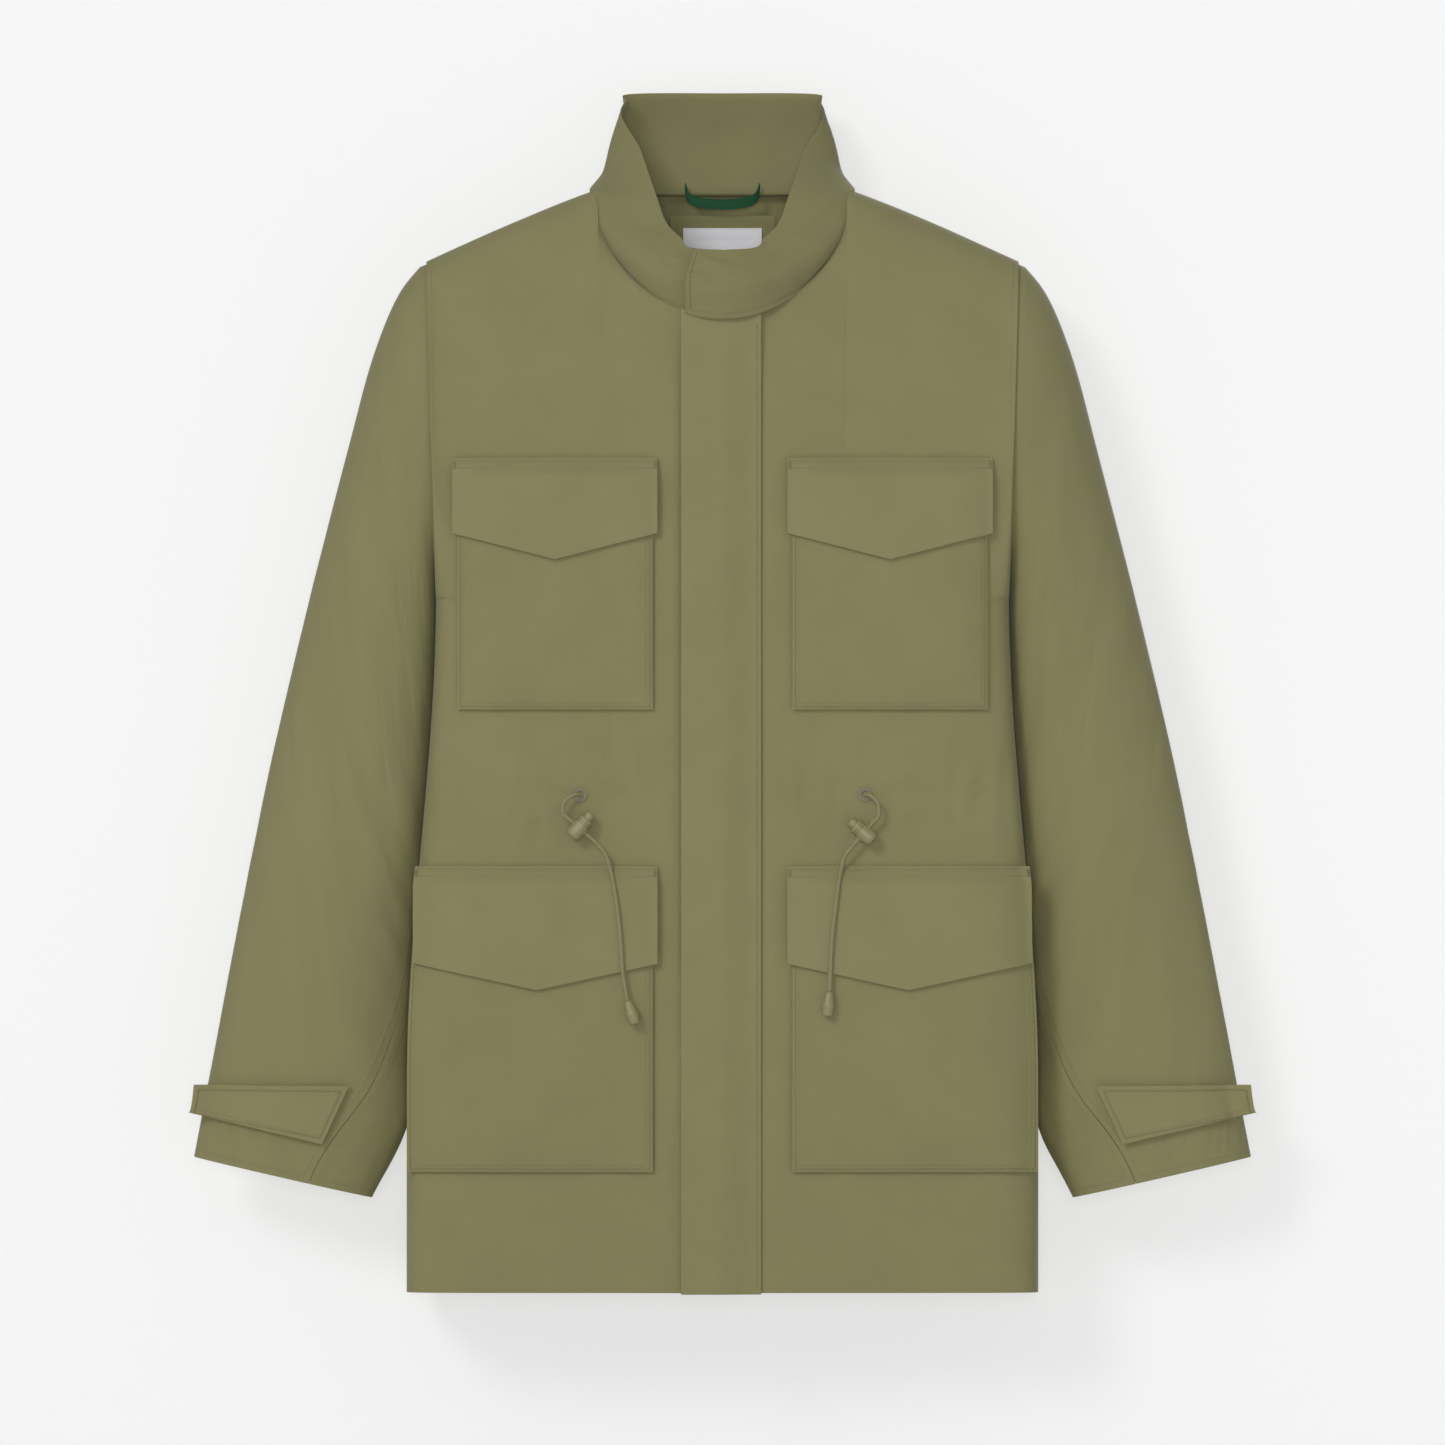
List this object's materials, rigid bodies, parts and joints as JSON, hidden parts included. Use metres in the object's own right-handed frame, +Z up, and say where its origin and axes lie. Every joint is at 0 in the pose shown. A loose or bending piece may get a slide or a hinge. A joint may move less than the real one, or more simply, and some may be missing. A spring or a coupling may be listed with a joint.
{
  "type": "field jacket",
  "caption": "Olive field jacket with stand collar, storm fly over a zip, bellows pockets with pointed flaps, a waist drawcord with cord locks, and cuff tabs.",
  "frame": {"origin": "the shoulder rest: on the centre plane, level with the neck ends of the shoulder seams, midway between front and back", "axes": "+Z up, -Y out of the front, +X to the wearer's left"},
  "size_m": [0.7626, 0.1303, 0.8651],
  "materials": {
    "shell": "olive plain-weave cotton blend, smooth and matt with a faint sheen",
    "flap": "the shell cloth doubled and interlined, topstitched",
    "collar": "the shell cloth, two plies",
    "lining": "thin crinkled brown lining",
    "label": "blank white woven label",
    "hang_loop": "dark green woven tape",
    "tape": "dark olive woven tape",
    "cord": "braided olive cord",
    "cord_fittings": "olive moulded plastic, satin",
    "metal": "dull steel"
  },
  "bodies": {
    "jacket": {"front_left": "shell", "front_right": "shell", "back_panel": "shell", "sleeve_upper_left": "shell", "sleeve_under_left": "shell", "sleeve_upper_right": "shell", "sleeve_under_right": "shell", "neck_facing": "shell", "chest_pocket_left": "shell", "lower_pocket_left": "shell", "cuff_loop_patch_left": "tape", "zip_tape_left": "tape", "zip_teeth_left": "metal", "eyelet_left": "metal", "cord_tail_upper_left": "cord", "chest_pocket_right": "shell", "lower_pocket_right": "shell", "cuff_loop_patch_right": "tape", "zip_tape_right": "tape", "zip_teeth_right": "metal", "eyelet_right": "metal", "cord_tail_upper_right": "cord", "lining_front_left": "lining", "lining_front_right": "lining", "lining_back": "lining", "lining_sleeve_left": "lining", "lining_sleeve_right": "lining", "waist_channel": "lining", "waist_cord": "cord", "collar_outer": "collar", "collar_inner": "collar", "neck_label": "label", "hang_loop": "hang_loop", "fly_socket_tape": "tape", "zip_bottom_box": "metal"},
    "chest_flap_left": {"chest_flap_left": "flap"},
    "lower_flap_left": {"lower_flap_left": "flap", "cord_tail_lower_left": "cord", "cord_end_left": "cord_fittings"},
    "cuff_tab_left": {"cuff_tab_left": "flap", "cuff_hook_patch_left": "tape"},
    "cord_lock_left": {"cord_lock_left": "cord_fittings", "cord_lock_spring_left": "metal"},
    "cord_lock_plunger_left": {"cord_lock_plunger_left": "cord_fittings"},
    "chest_flap_right": {"chest_flap_right": "flap"},
    "lower_flap_right": {"lower_flap_right": "flap", "cord_tail_lower_right": "cord", "cord_end_right": "cord_fittings"},
    "cuff_tab_right": {"cuff_tab_right": "flap", "cuff_hook_patch_right": "tape"},
    "cord_lock_right": {"cord_lock_right": "cord_fittings", "cord_lock_spring_right": "metal"},
    "cord_lock_plunger_right": {"cord_lock_plunger_right": "cord_fittings"},
    "storm_fly": {"storm_fly": "flap", "fly_stud_tape": "tape"},
    "zip_slider": {"zip_slider": "metal"},
    "zip_pull": {"zip_pull": "metal"}
  },
  "joints": [
    {"name": "chest_flap_left_lift", "type": "hinge", "parent": "jacket", "child": "chest_flap_left", "pos_m": [0.0465, -0.0577, -0.1937], "axis": [-0.9991, -0.0424, 0], "range_deg": [0, 140]},
    {"name": "lower_flap_left_lift", "type": "hinge", "parent": "jacket", "child": "lower_flap_left", "pos_m": [0.0465, -0.0582, -0.4878], "axis": [-1, 0, 0], "range_deg": [0, 100], "deforming": ["cord_tail_lower_left"]},
    {"name": "cuff_tab_left_open", "type": "hinge", "parent": "jacket", "child": "cuff_tab_left", "pos_m": [0.279, -0.0311, -0.6735], "axis": [0.421, 0, -0.907], "range_deg": [0, 120]},
    {"name": "cord_lock_left_slide", "type": "slide", "parent": "jacket", "child": "cord_lock_left", "axis": [-0.6532, 0, -0.7572], "range_m": [-0.004, 0.004]},
    {"name": "cord_lock_left_press", "type": "slide", "parent": "cord_lock_left", "child": "cord_lock_plunger_left", "axis": [0.7572, 0, -0.6532], "range_m": [0, 0.0025], "stiffness_N_per_m": 150, "springref_m": -0.003, "deforming": ["cord_lock_spring_left"]},
    {"name": "chest_flap_right_lift", "type": "hinge", "parent": "jacket", "child": "chest_flap_right", "pos_m": [-0.0465, -0.0577, -0.1937], "axis": [-0.9991, 0.0424, 0], "range_deg": [0, 140]},
    {"name": "lower_flap_right_lift", "type": "hinge", "parent": "jacket", "child": "lower_flap_right", "pos_m": [-0.0465, -0.0582, -0.4878], "axis": [-1, 0, 0], "range_deg": [0, 100], "deforming": ["cord_tail_lower_right"]},
    {"name": "cuff_tab_right_open", "type": "hinge", "parent": "jacket", "child": "cuff_tab_right", "pos_m": [-0.279, -0.0311, -0.6735], "axis": [0.421, 0, 0.907], "range_deg": [0, 120]},
    {"name": "cord_lock_right_slide", "type": "slide", "parent": "jacket", "child": "cord_lock_right", "axis": [0.7507, 0, -0.6606], "range_m": [-0.004, 0.004]},
    {"name": "cord_lock_right_press", "type": "slide", "parent": "cord_lock_right", "child": "cord_lock_plunger_right", "axis": [-0.6606, 0, -0.7507], "range_m": [0, 0.0025], "stiffness_N_per_m": 150, "springref_m": -0.003, "deforming": ["cord_lock_spring_right"]},
    {"name": "storm_fly_open", "type": "hinge", "parent": "jacket", "child": "storm_fly", "pos_m": [0.028, -0.0585, 0], "axis": [0, 0, 1], "range_deg": [0, 100]},
    {"name": "zip_slider_run", "type": "slide", "parent": "jacket", "child": "zip_slider", "axis": [0, 0, -1], "range_m": [0, 0.665]},
    {"name": "zip_pull_swing", "type": "hinge", "parent": "zip_slider", "child": "zip_pull", "pos_m": [0, -0.0563, -0.107], "axis": [0, 1, 0], "range_deg": [-35, 20]}
  ]
}
